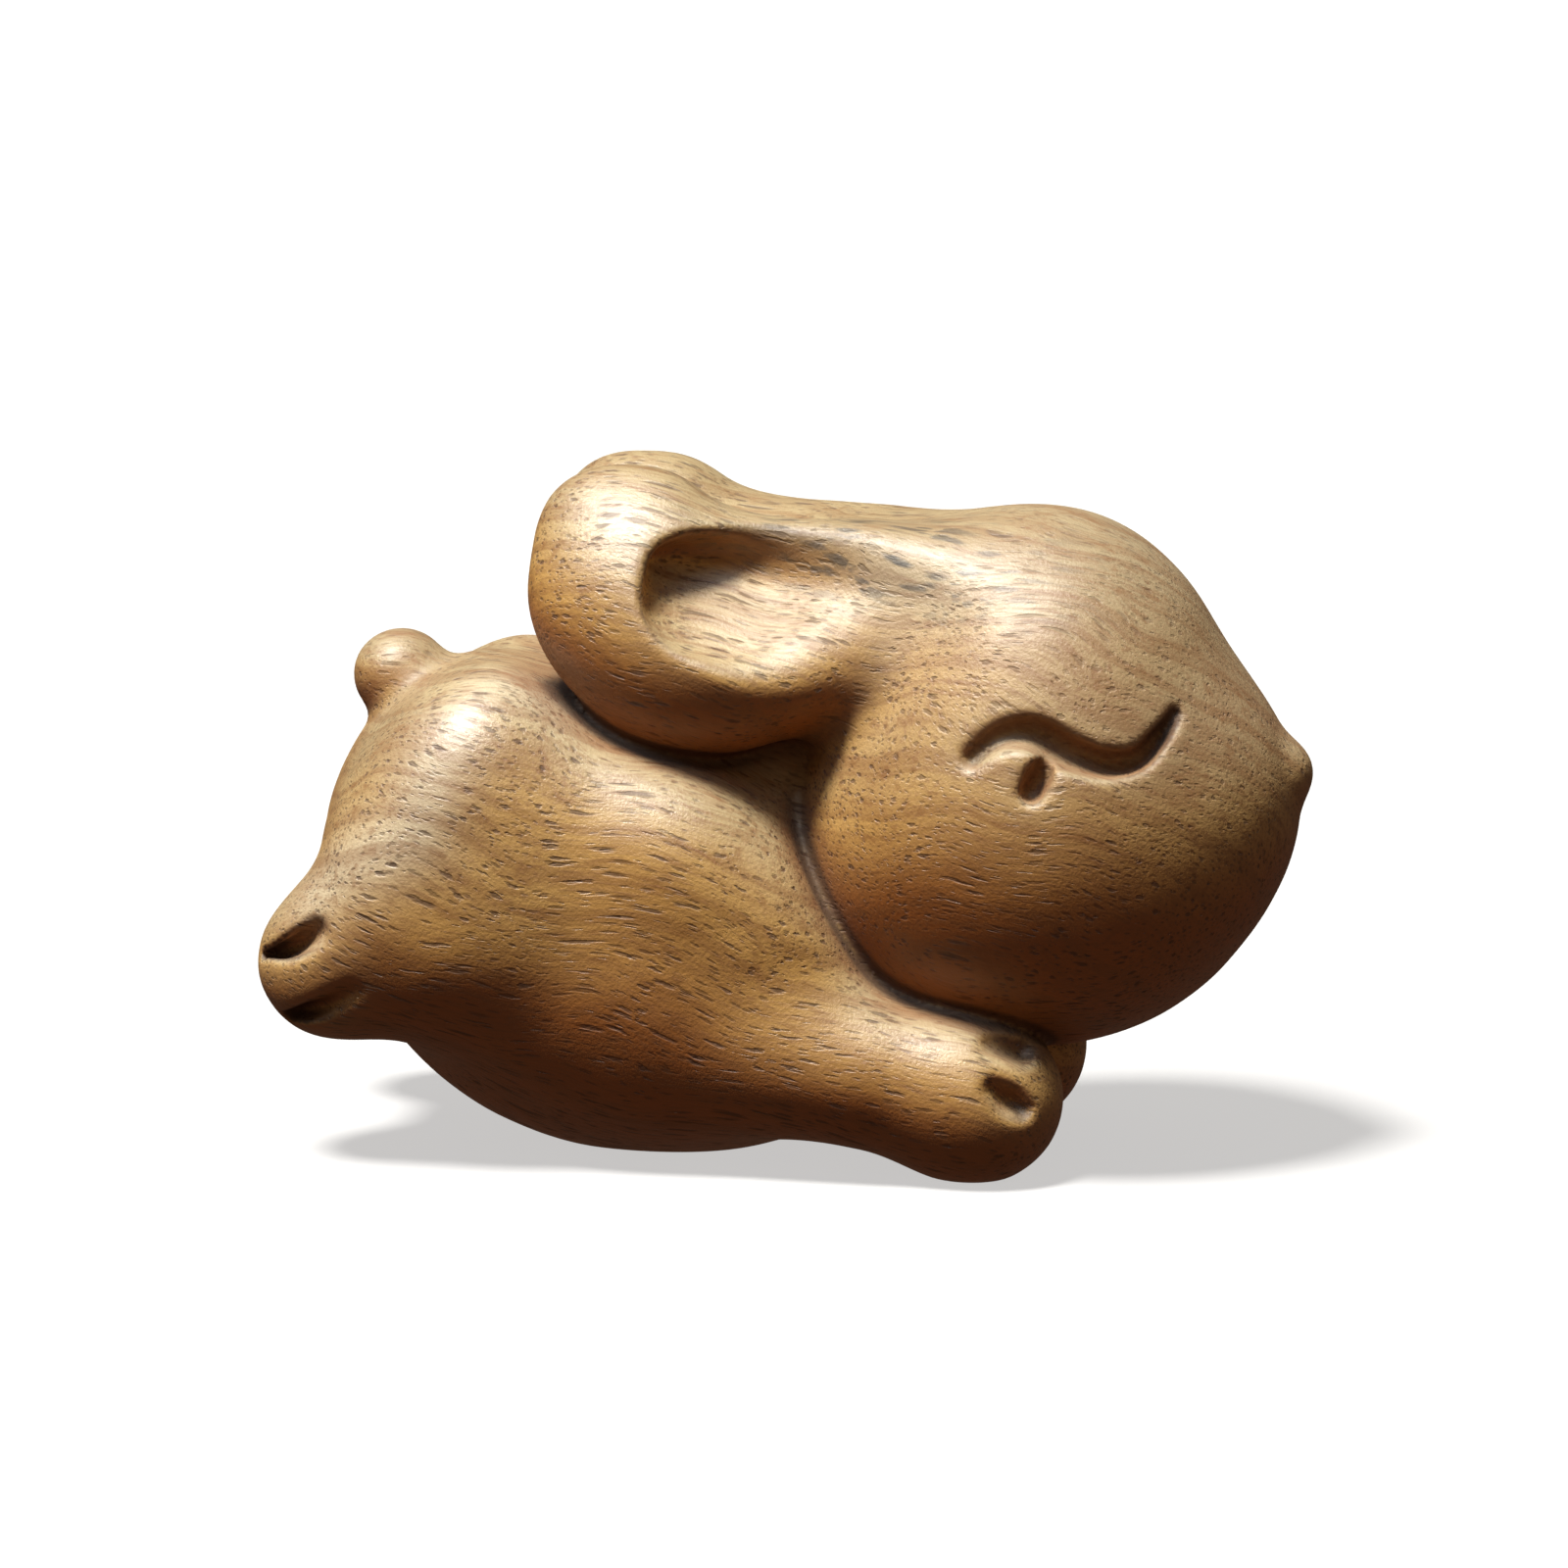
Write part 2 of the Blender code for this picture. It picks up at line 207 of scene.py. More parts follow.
# %% Lumps of the body
TRUNK = ((-0.203, 0.0, 0.222), (0.238, 0.167, 0.192), 24, 0, 2)
RUMP = ((-0.299, 0.0, 0.292), (0.146, 0.138, 0.182), 0, 0, 2)
BELLY = ((-0.124, 0.0, 0.122), (0.226, 0.152, 0.126), 4, 0, 2)
NECK = ((0.037, 0.0, 0.325), (0.132, 0.086, 0.162), 0, 0, 2)
BACK = ((-0.077, 0.0, 0.447), (0.132, 0.076, 0.071), 25, 0, 2)
TAIL = ((-0.385, 0.0, 0.452), (0.046, 0.051, 0.044), 0, 0, 2)
FLANK = ((-0.169, -0.101, 0.241), (0.263, 0.105, 0.162), 25, 0, 2.6)
SHOULDER = ((-0.102, -0.086, 0.301), (0.081, 0.091, 0.081), 0, 0, 2)
HIP = ((-0.295, -0.112, 0.364), (0.066, 0.084, 0.100), 20, 0, 2)
HAUNCH = ((-0.335, -0.140, 0.330), (0.130, 0.056, 0.052), -60, 0, 2, -15)
THIGH = ((-0.326, -0.127, 0.229), (0.116, 0.089, 0.091), -22, 0, 2)
HIND_FOOT = ((-0.425, -0.132, 0.194), (0.075, 0.073, 0.075), 0, 0, 2)
ARM = ((0.081, -0.116, 0.104), (0.172, 0.086, 0.079), 11, 0, 2)
PAW = ((0.188, -0.121, 0.075), (0.082, 0.079, 0.081), 0, 0, 2)
CHIN_CUT = ((0.196, 0.326), (0.162, 0.142), 0.100)     # oval (x, z), half lengths, how near the middle
CHIN_RIM = 0.045                    # rounding of the shoulder's edge along that cut
HIP_SEAM = 0.07                     # width of the melted seam round hip and thigh
TOE_RIM = 0.012                     # rounding of the rims of the toe nicks
TAIL_SEAM = 0.02                    # width of the melted seam round the tail
CREASE = 0.012                      # rounding at the bottom of the crease where head meets body
GROUND_RIM = 0.004                  # rounding of the edges of the three flats


def body_field(m):
    """Trunk, flank, hip, haunch and arm melted in turn, the chin's oval cut in, feet and tail added."""
    body = melt(melt(lump(m, TRUNK), lump(m, RUMP), BROAD), lump(m, BELLY), BROAD)
    body = melt(melt(body, lump(m, NECK), MIDDLING), lump(m, BACK), MIDDLING)
    body = melt(body, melt(lump(m, FLANK), lump(m, SHOULDER), WIDE), WIDE)
    body = melt(body, melt(lump(m, HIP), lump(m, THIGH), BROAD), HIP_SEAM)
    body = melt(body, lump(m, HAUNCH), MIDDLING)
    body = melt(body, lump(m, ARM), MIDDLING)
    (cx, cz), (rx, rz), inner = CHIN_CUT
    oval = lump(m * np.array((1, 0, 1), m.dtype), ((cx, 0, cz), (rx, 1, rz), 0, 0, 2))
    body = scoop(body, -melt(-oval, -(m[:, 1] + inner), MODEST), CHIN_RIM)
    body = melt(melt(body, lump(m, HIND_FOOT), MODEST), lump(m, PAW), MODEST)
    toes = np.minimum(np.minimum(groove(m, HIND_TOE_UPPER), groove(m, HIND_TOE_LOWER)),
                      np.minimum(groove(m, PAW_TOE_UPPER), groove(m, PAW_TOE_LOWER)))
    return melt(scoop(body, toes, TOE_RIM), lump(m, TAIL), TAIL_SEAM)


def form(p):
    """Head and body met in a crease, both sides folded onto the near one, ended at the ground."""
    m = np.stack((p[:, 0], -np.abs(p[:, 1]), p[:, 2]), 1)
    return scoop(melt(head_field(m), body_field(m), CREASE), p[:, 2], GROUND_RIM)


probe = np.array([[0.0, 0.0, 0.3], [0.0, -0.4, 0.3], [-0.153, -0.071, 0.574]], np.float32)
print("field inside, outside and in an ear:", np.round(form(probe), 3))

# %% [markdown]
# ## What the hand leaves
#
# A carved and scraped skin is never as true as a formula. It rises and falls by less than a tenth of a
# millimetre over a few millimetres, which is what breaks up the shine, and the smaller facets of the scraper
# lie over that. Both are added to the field before the skin is taken from it, so they are real relief. They
# could be a bump in the material, but then the outline and the mesh would be machine smooth.

# %% Unevenness of a scraped surface
ADDRESS_MIX = (73856093, 19349663, 83492791)        # large primes, one for each axis of the grid
SEED_MIX, LAST_MIX = 7919, 2654435761
DROPPED_BITS, KEPT_BITS = 13, 0xFFFF


def value_noise(q, seed):
    """Smooth noise from -1 to 1: a number drawn for each corner of a unit grid by mixing the bits of
    its address, and blended across the cell with 3 f^2 - 2 f^3 along each axis."""
    base = np.floor(q).astype(np.int64)
    f = (q - base).astype(np.float32)
    f = f * f * (3 - 2 * f)
    total = np.zeros(len(q), np.float32)
    for corner in np.ndindex(2, 2, 2):
        c = (base + corner).astype(np.uint64)
        h = np.bitwise_xor.reduce(c * np.array(ADDRESS_MIX, np.uint64), 1)
        h = (h ^ np.uint64(seed * SEED_MIX)) * np.uint64(LAST_MIX)
        h = (h >> np.uint64(DROPPED_BITS)) & np.uint64(KEPT_BITS)
        weight = np.prod(np.where(corner, f, 1 - f), 1)
        total += weight * (h.astype(np.float32) / (KEPT_BITS / 2) - 1)
    return total


HAND_WAVE = (0.0011, 0.085)         # height and width of the slow unevenness, shares of the length
SCRAPER = (0.00045, 0.030)          # the same for the small facets of the scraper
STROKE = 0.6                        # lengthways the waves are drawn out by one over this
FLAT_FADE = 0.02                    # height over the ground by which the unevenness is whole


def hand(p):
    """Two layers of smooth noise, stretched along the body as the tool was drawn."""
    along = p * np.array((STROKE, 1, 1), p.dtype)
    return (HAND_WAVE[0] * value_noise(along / HAND_WAVE[1] + 50, 3)
            + SCRAPER[0] * value_noise(along / SCRAPER[1] + 90, 8)).astype(p.dtype)


def skin_field(p):
    """The form with the hand's unevenness, which fades out at the ground to keep the flats flat."""
    return form(p) + hand(p) * np.clip(p[:, 2] / FLAT_FADE, 0, 1)


print("unevenness, mm:", round(float(np.abs(hand(probe)).max()) * LENGTH * 1000, 3))

# %% [markdown]
# ## From the field to a skin
#
# The skin is where the field is nought. It is taken off a fine grid of points: every grid cell
# whose corners lie on both sides of the skin gets one vertex, at the mean of the places where its
# edges cross the skin, and every grid edge that crosses the skin gets one square face between the
# four cells round it. All of it is done as whole arrays. A first coarse grid finds where the skin
# can be, so that the fine grid is worked out only there, and one half is mirrored into the other.

# %% The grid and the faces
STEP = 0.0053                       # grid step, share of the length: three tenths of a millimetre
COARSE = 6                          # steps of the fine grid in one of the coarse grid
MARGIN = 1.35                       # the skin is looked for within this many coarse steps
GRID_LOW, GRID_HIGH = (-0.53, -0.26, -0.03), (0.53, 0.26, 0.70)


def sample(lo, hi):
    """Field on the near half of a grid, mirrored to the far half. Grid planes lie half a step
    either side of y = 0."""
    half = int(round(-lo[1] / STEP))
    x = np.arange(lo[0], hi[0], STEP)
    y = -(np.arange(half)[::-1] + 0.5) * STEP
    z = np.arange(lo[2], hi[2], STEP)
    cx, cy, cz = (v[::COARSE] + STEP * COARSE / 2 for v in (x, y, z))
    mid = np.stack(np.meshgrid(cx, cy, cz, indexing="ij"), -1).reshape(-1, 3).astype(np.float32)
    grid = form(mid).reshape(len(cx), len(cy), len(cz))
    for axis, n in enumerate((len(x), len(y), len(z))):
        grid = np.take(grid, np.minimum(np.arange(n) // COARSE, grid.shape[axis] - 1), axis)
    i, j, k = np.nonzero(np.abs(grid) < STEP * COARSE * MARGIN)
    grid[i, j, k] = skin_field(np.stack((x[i], y[j], z[k]), 1).astype(np.float32))
    whole = np.concatenate((grid, grid[:, ::-1]), 1)
    return whole, np.array((x[0], y[0], z[0]))


def skin_of(grid, origin):
    """Vertices and square faces of the surface where the grid's values change sign."""
    inside = grid < 0
    n = np.array(grid.shape) - 1
    count = np.zeros(n, np.int8)
    corners = list(np.ndindex(2, 2, 2))
    for c in corners:
        count += inside[c[0]:n[0] + c[0], c[1]:n[1] + c[1], c[2]:n[2] + c[2]]
    cell = np.stack(np.nonzero((count > 0) & (count < 8)), 1)
    value = np.stack([grid[tuple((cell + c).T)] for c in corners], 1)
    place, met = np.zeros((len(cell), 3)), np.zeros(len(cell))
    for a in range(8):
        for b in range(a + 1, 8):
            ca, cb = np.array(corners[a]), np.array(corners[b])
            if np.abs(ca - cb).sum() != 1:
                continue
            cross = (value[:, a] < 0) != (value[:, b] < 0)
            t = np.where(cross, value[:, a] / np.where(cross, value[:, a] - value[:, b], 1), 0)
            place += cross[:, None] * (ca + (cb - ca) * t[:, None])
            met += cross
    points = origin + (cell + place / met[:, None]) * STEP
    number = np.full(n, -1, np.int64)
    number[tuple(cell.T)] = np.arange(len(cell))
    faces = []
    for axis in range(3):
        u, v = (axis + 1) % 3, (axis + 2) % 3
        ahead = np.zeros(3, int)
        ahead[axis] = 1
        first = inside[:n[0] + 1 - ahead[0], :n[1] + 1 - ahead[1], :n[2] + 1 - ahead[2]]
        second = inside[ahead[0]:, ahead[1]:, ahead[2]:]
        at = np.stack(np.nonzero(first != second), 1)
        ring = []
        for du, dv in ((-1, -1), (0, -1), (0, 0), (-1, 0)):
            c = at.copy()
            c[:, u] += du
            c[:, v] += dv
            ring.append(number[tuple(c.T)])
        ring = np.stack(ring, 1)
        outward = first[tuple(at.T)]
        ring[~outward] = ring[~outward][:, ::-1]
        faces.append(ring)
    return points, np.concatenate(faces)


grid, corner = sample(GRID_LOW, GRID_HIGH)
points, faces = skin_of(grid, corner)
print("grid", grid.shape, "vertices", len(points), "triangles", 2 * len(faces))

# %% [markdown]
# ## Laying the skin true
#
# The vertices are near the skin but still show the grid. Each is moved along the field's slope
# until the field is nought, and between two such moves the vertices are eased towards the middle
# of their neighbours, along the skin only, so that the faces become even and the shine runs smoothly
# over them.

# %% Slide and ease
FEELER = 5e-4                       # how far to each side of a point the slope is felt for
LEAST_SLOPE = 0.3                   # squared, so that a point in a crease isn't thrown far off
MOVES, EASE = 4, 0.5                # moves in all, and the share of the way in all but the last


def slope_of(p):
    """The field's value and its slope, from pairs of points two feelers apart along each axis."""
    d = np.eye(3) * FEELER
    return skin_field(p), np.stack([(skin_field(p + e) - skin_field(p - e)) / (2 * FEELER) for e in d], 1)


def lay(p, faces, share):
    """p - f * slope / |slope|^2, limited to one grid step, and then `share` of the way to the mean
    of the neighbours, less the part of that way which leads off the skin."""
    f, g = slope_of(p)
    steepness = np.maximum((g * g).sum(1), LEAST_SLOPE)[:, None]
    p = p - np.clip(f[:, None] / steepness, -STEP, STEP) * g
    if not share:
        return p
    a, b = faces.ravel(), np.roll(faces, -1, 1).ravel()
    total = np.stack([np.bincount(a, p[b, i], len(p)) + np.bincount(b, p[a, i], len(p))
                      for i in range(3)], 1)
    times = np.bincount(a, minlength=len(p)) + np.bincount(b, minlength=len(p))
    way = total / times[:, None] - p
    return p + share * (way - (way * g).sum(1)[:, None] * g / steepness)


for move in range(MOVES):
    points = lay(points, faces, EASE if move < MOVES - 1 else 0)
points[:, 2] = np.maximum(points[:, 2], 0)
print("left off the skin, mm:", round(float(np.abs(skin_field(points)).mean()) * LENGTH * 1000, 4))

# %% [markdown]
# ## Where dirt, shade and handling go
#
# Oil and dust gather where fingers don't reach, and a much-handled ridge goes paler; the dark given to
# hollows and creases is also painted shade. The field already knows where they are. A point a little way out
# along the normal should be that far from the skin: if it is nearer, it lies in a hollow. A point a little
# way in should be that deep: if it is less deep, it is on a ridge. The two shares are kept on the mesh as
# attributes for the material to read.

# %% Hollows and ridges as attributes
_, slope = slope_of(points)
normal = slope / np.linalg.norm(slope, axis=1)[:, None]
SHORT_REACH, MIDDLE_REACH, LONG_REACH = 0.012, 0.03, 0.08      # shares of the length


def shut_in(reach):
    """One less the field at `reach` along the normal as a share of that reach."""
    return np.clip(1 - skin_field(points + normal * reach) / reach, 0, 1)


def stand_out(reach):
    """One less the depth at `reach` inwards as a share of that reach."""
    return np.clip(1 + skin_field(points - normal * reach) / reach, 0, 1)


crease = np.clip(shut_in(SHORT_REACH) * 1.2, 0, 1)
hollow = np.clip(0.5 * shut_in(MIDDLE_REACH) + 0.5 * shut_in(LONG_REACH), 0, 1)
ridge = np.clip(stand_out(MIDDLE_REACH) * 2.0, 0, 1)
print("share in creases", round(float((crease > 0.5).mean()), 3),
      "mean hollow", round(float(hollow.mean()), 3))

# %% [markdown]
# ## Painted light and shade, and how the wood has aged
#
# What faces up is made a paler straw and what faces the ground a darker red: this is painted light and
# painted shade, and only its random patches are the wood's own. The crest from the hip to the hind foot, a
# spot on the back and the front of the ear's hollow carry a painted highlight in cream. The head has gone a
# smoky brown towards the muzzle, and the tail with it. A streak of dark flecks, as wood often has near a
# knot, runs along the root of the near ear. Each is a share from nought to one on every vertex. They could be
# painted by hand with a brush, but as formulas of place and facing they stay right when the form is changed a
# little.

# %% Painted top light, painted highlights, smoke and flecks as attributes
def ease(value, low, high):
    """3 t^2 - 2 t^3 of the share t of the way from low to high, held at both ends."""
    t = np.clip((value - low) / (high - low), 0, 1)
    return t * t * (3 - 2 * t)


# PATCH gives the random patches in the painted top light, CLOUD the ragged edge of the smoke.
PATCH, CLOUD = (0.08, 0.13), (0.05, 0.10)     # strength and width of uneven bleaching and smoke
SMOKE_X, SMOKE_Z = (0.02, 0.36), (0.27, 0.46)   # the head's smoke starts and is whole at these
FLECK_AT, FLECK_SIZE, FLECK_FALL = (0.10, 0.590), (0.15, 0.045), 0.10   # middle (x, z), reach, slope
NEAR_SIDE = (0.0, 0.06)             # how far from the middle plane the flecks start and are whole

px, py, pz = points.T
# Painted light and shade: what faces up is made paler and what faces down darker, by the normal, with random
# patches on top.
painted_toplight = 0.5 + 0.5 * normal[:, 2] + PATCH[0] * value_noise(points / PATCH[1] + 7, 21)
painted_toplight = np.clip(painted_toplight, 0, 1)
smoke = ease(px + CLOUD[0] * value_noise(points / CLOUD[1] + 11, 5), *SMOKE_X) * ease(pz, *SMOKE_Z)
fx = px - FLECK_AT[0]
fz = pz - FLECK_AT[1] + FLECK_FALL * fx
fleck = np.exp(-(fx / FLECK_SIZE[0]) ** 2 - (fz / FLECK_SIZE[1]) ** 2) * ease(-py, *NEAR_SIDE)


def near_line(start, end, reach):
    """exp(-(d / reach)^2), d the distance to the straight line from start to end on either side."""
    folded = points * (1, 0, 1) - np.abs(points) * (0, 1, 0)
    start, way = np.array(start), np.array(end) - np.array(start)
    t = np.clip((folded - start) @ way / (way @ way), 0, 1)
    return np.exp(-(((folded - start - t[:, None] * way) ** 2).sum(1)) / reach ** 2)


# Painted highlights in cream: along the hip crest down to the hind foot, on the back and at the front of the
# ear's hollow.
HIP_TOP, HIP_LOW, FOOT_TOP = (-0.303, -0.190, 0.420), (-0.333, -0.216, 0.336), (-0.432, -0.184, 0.272)
BACK_REAR, BACK_FRONT = (-0.262, -0.138, 0.466), (-0.220, -0.128, 0.451)
EAR_REAR, EAR_FRONT = (0.095, -0.110, 0.569), (0.160, -0.130, 0.560)
TAIL_LOW, TAIL_TOP = (-0.385, 0.0, 0.440), (-0.385, 0.0, 0.470)
painted_highlight = np.maximum(near_line(HIP_TOP, HIP_LOW, 0.042), near_line(HIP_LOW, FOOT_TOP, 0.042))
painted_highlight = np.maximum(painted_highlight, 0.8 * near_line(BACK_REAR, BACK_FRONT, 0.040))
painted_highlight = np.maximum(painted_highlight, 0.8 * near_line(EAR_REAR, EAR_FRONT, 0.035))
smoke = np.maximum(smoke, 0.9 * near_line(TAIL_LOW, TAIL_TOP, 0.060))
print("mean bleaching", round(float(painted_toplight.mean()), 3), "smoke", round(float(smoke.mean()), 3),
      "painted_highlight", round(float(painted_highlight.mean()), 3), "share flecked", round(float((fleck > 0.3).mean()), 3))

# %% [markdown]
# ## The mesh
#
# The arrays go into one mesh, in metres, with its place in its vertices and its object at the
# origin. It rides on the frame's only body and stands for the node `hare`, whose solid keeps the
# weight and the contact.

# %% Build the carving
MARKS = {"crease": crease, "hollow": hollow, "ridge": ridge, "painted_toplight": painted_toplight, "painted_highlight": painted_highlight,
         "smoke": smoke, "fleck": fleck}
mesh = bpy.data.meshes.new("hare_carving")
mesh.from_pydata((points * LENGTH).astype(np.float32), [], faces.tolist())
mesh.validate()
mesh.polygons.foreach_set("use_smooth", np.ones(len(mesh.polygons), bool))
for name, data in MARKS.items():
    layer = mesh.attributes.new(name, "FLOAT", "POINT")
    layer.data.foreach_set("value", data.astype(np.float32))
mesh.update()
carving = bpy.data.objects.new("hare_carving", mesh)
bpy.context.collection.objects.link(carving)
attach(carving, "root")
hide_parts("hare")
print("carving:", len(mesh.vertices), "vertices,", 2 * len(mesh.polygons), "triangles")

# %% [markdown]
# ## The wood
#
# The wood is a fine hardwood with open pores. Pores are tiny tubes that run along the trunk, so a
# side face shows them as dark dashes and an end face as dots. A picture wrapped round the hare would
# get that wrong at every turn of the surface. A pattern in space gets it right by itself: the cells
# of a pattern are stretched along the grain, and the skin cuts through them as the knife did. Each
# layer is a node group, so that it can be placed more than once with other values.

# %% Helpers for node groups
def new_group(name, inputs, outputs):
    """A shader node group with named sockets: (name, kind, default) in, (name, kind) out."""
    group = bpy.data.node_groups.new(name, "ShaderNodeTree")
    kinds = {"value": "NodeSocketFloat", "vector": "NodeSocketVector", "colour": "NodeSocketColor"}
    for label, kind, default in inputs:
        socket = group.interface.new_socket(label, in_out="INPUT", socket_type=kinds[kind])
        if default is not None:
            socket.default_value = default
    for label, kind in outputs:
        group.interface.new_socket(label, in_out="OUTPUT", socket_type=kinds[kind])
    return group, group.nodes.new("NodeGroupInput"), group.nodes.new("NodeGroupOutput")


def put(tree, kind, settings=(), values=(), links=()):
    """One node: settings are attributes, values are input defaults, links are (socket, input)."""
    node = tree.nodes.new(kind)
    for key, setting in dict(settings).items():
        setattr(node, key, setting)
    for key, amount in dict(values).items():
        node.inputs[key].default_value = amount
    for source, key in links:
        tree.links.new(source, node.inputs[key])
    return node


def maths(tree, what, a, b=None, clamp=False):
    """A Math node on sockets or numbers; gives back its output."""
    node = put(tree, "ShaderNodeMath", {"operation": what, "use_clamp": clamp})
    for i, term in enumerate((a, b)):
        if term is None:
            continue
        if hasattr(term, "is_linked"):
            tree.links.new(term, node.inputs[i])
        else:
            node.inputs[i].default_value = term
    return node.outputs[0]


def span(tree, value, low, high, to_low=0.0, to_high=1.0):
    """Carries low..high over to to_low..to_high with a soft start and end, and holds it there."""
    node = put(tree, "ShaderNodeMapRange", {"interpolation_type": "SMOOTHSTEP"}, links=[(value, "Value")])
    for key, amount in (("From Min", low), ("From Max", high), ("To Min", to_low), ("To Max", to_high)):
        if hasattr(amount, "is_linked"):
            tree.links.new(amount, node.inputs[key])
        else:
            node.inputs[key].default_value = amount
    return node.outputs["Result"]


def stain(tree, how, amount, under, over):
    """Mixes the colour `over` onto `under` by `amount`."""
    node = put(tree, "ShaderNodeMix", {"data_type": "RGBA", "blend_type": how, "clamp_factor": True})
    for i, term in ((0, amount), (6, under), (7, over)):
        if hasattr(term, "is_linked"):
            tree.links.new(term, node.inputs[i])
        else:
            node.inputs[i].default_value = term
    return node.outputs[2]


# %% [markdown]
# ### Grain coordinates
#
# The block was cut so that the grain runs from the rump down to the nose at a slight slope. This
# group turns metres into millimetres along and across the grain, and lets the grain wander a little,
# as it does round old knots.

# %% Group: grain coordinates
group, enter, leave = new_group("grain_coordinates", [("Dip", "value", 13.0), ("Wander", "value", 0.9)],
                                [("Along", "vector")])
place = put(group, "ShaderNodeTexCoord")
mm = put(group, "ShaderNodeVectorMath", {"operation": "SCALE"}, {"Scale": 1000.0},
         [(place.outputs["Object"], 0)])
dip = maths(group, "RADIANS", enter.outputs["Dip"])
turned = put(group, "ShaderNodeVectorRotate", {"rotation_type": "Y_AXIS"},
             links=[(mm.outputs[0], "Vector"), (maths(group, "MULTIPLY", dip, -1.0), "Angle")])
swing = put(group, "ShaderNodeTexNoise", {"noise_dimensions": "3D"}, {"Scale": 0.11, "Detail": 1.0},
            [(turned.outputs[0], "Vector")])
centred = put(group, "ShaderNodeVectorMath", {"operation": "SUBTRACT"}, {1: (0.5, 0.5, 0.5)},
              [(swing.outputs["Color"], 0)])
size = put(group, "ShaderNodeVectorMath", {"operation": "SCALE"},
           links=[(centred.outputs[0], 0), (maths(group, "MULTIPLY", enter.outputs["Wander"], 4.0), "Scale")])
moved = put(group, "ShaderNodeVectorMath", {"operation": "ADD"},
            links=[(turned.outputs[0], 0), (size.outputs[0], 1)])
group.links.new(moved.outputs[0], leave.inputs["Along"])
grain_coordinates = group
print("group", group.name, "nodes", len(group.nodes))

# %% [markdown]
# ### Pores
#
# A cell pattern has one point in every cell. Stretched along the grain and cut at a small distance
# from that point, it leaves one slim spindle a cell. Every cell also has its own random number,
# which drops some of the spindles and makes others stronger.

# %% Group: pore dashes
group, enter, leave = new_group(
    "pore_dashes", [("Along", "vector", None), ("Long", "value", 2.0), ("Wide", "value", 0.5),
                    ("Thickness", "value", 0.3), ("Kept", "value", 0.7), ("Seed", "value", 0.0)],
    [("Pore", "value"), ("Cell", "value")])
stretch = put(group, "ShaderNodeCombineXYZ", links=[
    (maths(group, "DIVIDE", 1.0, enter.outputs["Long"]), 0),
    (maths(group, "DIVIDE", 1.0, enter.outputs["Wide"]), 1),
    (maths(group, "DIVIDE", 1.0, enter.outputs["Wide"]), 2)])
scaled = put(group, "ShaderNodeVectorMath", {"operation": "MULTIPLY"},
             links=[(enter.outputs["Along"], 0), (stretch.outputs[0], 1)])
shifted = put(group, "ShaderNodeVectorMath", {"operation": "ADD"},
              links=[(scaled.outputs[0], 0), (enter.outputs["Seed"], 1)])
ragged = put(group, "ShaderNodeTexNoise", values={"Scale": 2.6, "Detail": 1.0},
             links=[(shifted.outputs[0], "Vector")])
push = put(group, "ShaderNodeVectorMath", {"operation": "MULTIPLY_ADD"}, {1: (0.5, 0.5, 0.5)},
           [(ragged.outputs["Color"], 0), (shifted.outputs[0], 2)])
cells = put(group, "ShaderNodeTexVoronoi", {"feature": "F1"}, {"Scale": 1.0, "Randomness": 1.0},
            [(push.outputs[0], "Vector")])
lot = put(group, "ShaderNodeSeparateColor", links=[(cells.outputs["Color"], 0)])
kept = maths(group, "LESS_THAN", lot.outputs[0], enter.outputs["Kept"])
thickness = maths(group, "ADD", 0.55, maths(group, "MULTIPLY", lot.outputs[1], 0.9))
outer = maths(group, "MULTIPLY", enter.outputs["Thickness"], thickness)
inner = maths(group, "MULTIPLY", outer, 0.45)
spindle = span(group, cells.outputs["Distance"], inner, outer, 1.0, 0.0)
group.links.new(maths(group, "MULTIPLY", spindle, kept), leave.inputs["Pore"])
group.links.new(lot.outputs[2], leave.inputs["Cell"])
pore_dashes = group
print("group", group.name, "nodes", len(group.nodes))

# %% [markdown]
# ### Growth lines and fibres
#
# Across the grain the wood was laid down year by year round the middle of the trunk, which here lies
# above and behind the block. The distance from that middle line runs through a one-way noise, which
# gives lines of uneven strength and spacing. Streaks and fibres are noise stretched along the
# grain, the one five times at half a millimetre across, the other fourteen times and far finer.

# %% Group: growth lines and fibres
group, enter, leave = new_group(
    "growth_and_fibre", [("Along", "vector", None), ("Spacing", "value", 1.0), ("Fibre", "value", 0.12)],
    [("Growth", "value"), ("Fibre", "value"), ("Streak", "value"), ("Cloud", "value")])
PITH_Y, PITH_Z = 14.0, 62.0         # where the trunk's middle line lies, mm
parts = put(group, "ShaderNodeSeparateXYZ", links=[(enter.outputs["Along"], 0)])
sideways = maths(group, "ADD", parts.outputs[1], -PITH_Y)
height = maths(group, "ADD", parts.outputs[2], -PITH_Z)
ring = maths(group, "SQRT", maths(group, "ADD", maths(group, "MULTIPLY", sideways, sideways),
                                  maths(group, "MULTIPLY", height, height)))
lines = put(group, "ShaderNodeTexNoise", {"noise_dimensions": "1D"},
            {"Scale": 1.0, "Detail": 3.0, "Roughness": 0.65},
            [(maths(group, "DIVIDE", ring, enter.outputs["Spacing"]), "W")])
group.links.new(lines.outputs["Fac"], leave.inputs["Growth"])
fine = put(group, "ShaderNodeCombineXYZ", links=[
    (maths(group, "DIVIDE", parts.outputs[0], maths(group, "MULTIPLY", enter.outputs["Fibre"], 14.0)), 0),
    (maths(group, "DIVIDE", parts.outputs[1], enter.outputs["Fibre"]), 1),
    (maths(group, "DIVIDE", parts.outputs[2], enter.outputs["Fibre"]), 2)])
fibres = put(group, "ShaderNodeTexNoise", values={"Scale": 1.0, "Detail": 2.0, "Roughness": 0.6},
             links=[(fine.outputs[0], "Vector")])
